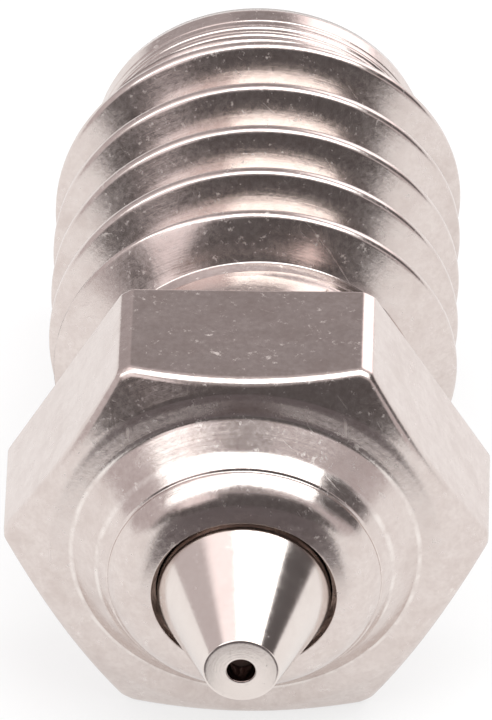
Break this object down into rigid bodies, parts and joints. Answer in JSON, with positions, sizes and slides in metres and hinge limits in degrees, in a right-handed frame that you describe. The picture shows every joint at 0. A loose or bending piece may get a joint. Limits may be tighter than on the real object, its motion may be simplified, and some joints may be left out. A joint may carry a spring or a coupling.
{
  "type": "oil burner nozzle",
  "caption": "Small screw-in burner nozzle: threaded inlet, hexagon, rounded boss and a pressed-in conical orifice tip, with swirl distributor, lock screw and strainer inside.",
  "frame": {"origin": "on the nozzle's axis, in the plane of the hexagon's rear shoulder", "axes": "+Y along the axis towards the oil inlet, so the spray tip points to -Y; +Z square to one hexagon flat, upwards when the nozzle lies on the opposite flat; +X to the right of that"},
  "size_m": [0.007, 0.0125, 0.006],
  "materials": {
    "plated_body": "bright satin nickel plate over turned metal, fine lathe lines",
    "insert_steel": "finely ground hardened steel",
    "stainless": "plain turned stainless",
    "brass": "plain turned brass",
    "nylon": "natural moulded nylon",
    "wire_mesh": "woven stainless wire cloth"
  },
  "bodies": {
    "root": {"nozzle_body": "plated_body", "orifice_insert": "insert_steel", "distributor": "stainless", "lock_screw": "brass", "strainer_base": "brass", "strainer_core": "nylon", "strainer_mesh": "wire_mesh", "strainer_cap": "brass"}
  },
  "joints": []
}
